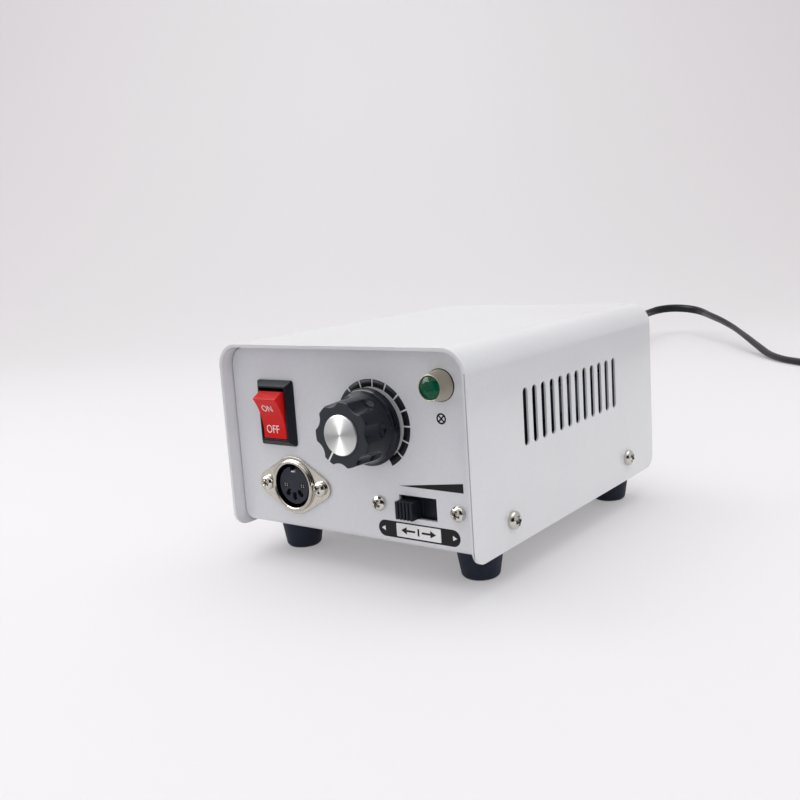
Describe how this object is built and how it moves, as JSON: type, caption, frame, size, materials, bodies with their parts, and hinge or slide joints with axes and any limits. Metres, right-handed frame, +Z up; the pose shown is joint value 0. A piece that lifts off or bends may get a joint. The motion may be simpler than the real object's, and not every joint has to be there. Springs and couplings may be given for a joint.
{
  "type": "dental laboratory micromotor control box",
  "caption": "Small sheet steel control box with rocker switch, handpiece socket, speed knob, pilot lamp and direction switch, and a mains lead.",
  "frame": {"origin": "on the table under the middle of the box, halfway between the knob's face and the end of the fuse cap, without the mains lead", "axes": "+Z up, +Y from the front panel to the rear panel, +X to the right as seen from the front"},
  "size_m": [0.2644, 0.6345, 0.0713],
  "materials": {
    "powder_coat": "fine textured powder coat, light bluish grey",
    "panel_coat": "smooth satin paint, light bluish grey, printed in black",
    "plated_screw": "bright zinc or nickel plated steel",
    "foot_rubber": "moulded black rubber, slightly shiny",
    "black_nylon": "moulded black plastic",
    "red_plastic": "glossy red moulded plastic with white lettering",
    "tinned_brass": "tinned brass",
    "contact_brass": "plated brass",
    "nickel_shell": "nickel plated pressed steel",
    "gloss_phenolic": "glossy black moulding with a white pointer line",
    "spun_aluminium": "aluminium disc with a fine turned finish",
    "turned_aluminium": "plain aluminium",
    "pressed_steel": "zinc plated pressed steel",
    "green_lens": "clear green moulded lens with facets",
    "white_plastic": "natural white moulded plastic",
    "brown_laminate": "paper laminate",
    "core_steel": "stacked and varnished steel laminations",
    "winding_tape": "dark blue polyester tape over the winding",
    "green_laminate": "glass laminate with green solder mask",
    "capacitor_sleeve": "shrink sleeve",
    "resistor_lacquer": "blue lacquer",
    "fuse_glass": "clear glass tube",
    "black_pvc": "satin black PVC",
    "plated_pin": "nickel plated brass"
  },
  "bodies": {
    "case": {"cover": "powder_coat", "chassis": "panel_coat", "cover_screws": "plated_screw", "feet": "foot_rubber", "foot_screws": "plated_screw", "foot_nuts": "plated_screw", "power_switch_body": "black_nylon", "power_switch_terminals": "tinned_brass", "din_shell": "nickel_shell", "din_insert": "black_nylon", "din_contacts": "contact_brass", "din_nuts": "plated_screw", "panel_screws": "plated_screw", "pot_body": "pressed_steel", "pot_nut": "plated_screw", "pot_terminals": "tinned_brass", "lamp_body": "nickel_shell", "lamp_lens": "green_lens", "lamp_nut": "plated_screw", "lamp_base": "white_plastic", "lamp_terminals": "tinned_brass", "slide_frame": "pressed_steel", "slide_base": "brown_laminate", "slide_terminals": "tinned_brass", "transformer_core": "core_steel", "transformer_bobbin": "black_nylon", "transformer_winding": "winding_tape", "transformer_strap": "pressed_steel", "transformer_screws": "plated_screw", "transformer_nuts": "plated_screw", "circuit_board": "green_laminate", "board_spacers": "white_plastic", "board_screws": "plated_screw", "board_nuts": "plated_screw", "capacitors": "capacitor_sleeve", "bridge_rectifier": "black_nylon", "heat_sink": "turned_aluminium", "power_transistor": "black_nylon", "control_chip": "black_nylon", "resistors": "resistor_lacquer", "board_headers": "white_plastic", "fuse_holder": "black_nylon", "fuse_cap": "black_nylon", "glass_fuse": "fuse_glass", "fuse_nut": "black_nylon", "fuse_terminals": "tinned_brass", "strain_relief": "black_pvc", "power_cord": "black_pvc", "cord_coil": "black_pvc", "plug_body": "black_pvc", "plug_pins": "plated_pin"},
    "rocker": {"power_rocker": "red_plastic"},
    "knob": {"speed_knob": "gloss_phenolic", "knob_disc": "spun_aluminium", "pot_shaft": "turned_aluminium"},
    "slider": {"slide_button": "black_nylon"}
  },
  "joints": [
    {"name": "power_rocker_tilt", "type": "hinge", "parent": "case", "child": "rocker", "pos_m": [-0.0271, -0.0558, 0.0491], "axis": [-1, 0, 0], "range_deg": [0, 32]},
    {"name": "speed_knob_turn", "type": "hinge", "parent": "case", "child": "knob", "pos_m": [0.0109, -0.0563, 0.0474], "axis": [0, 1, 0], "range_deg": [0, 292]},
    {"name": "direction_slide", "type": "slide", "parent": "case", "child": "slider", "axis": [1, 0, 0], "range_m": [0, 0.005]}
  ]
}
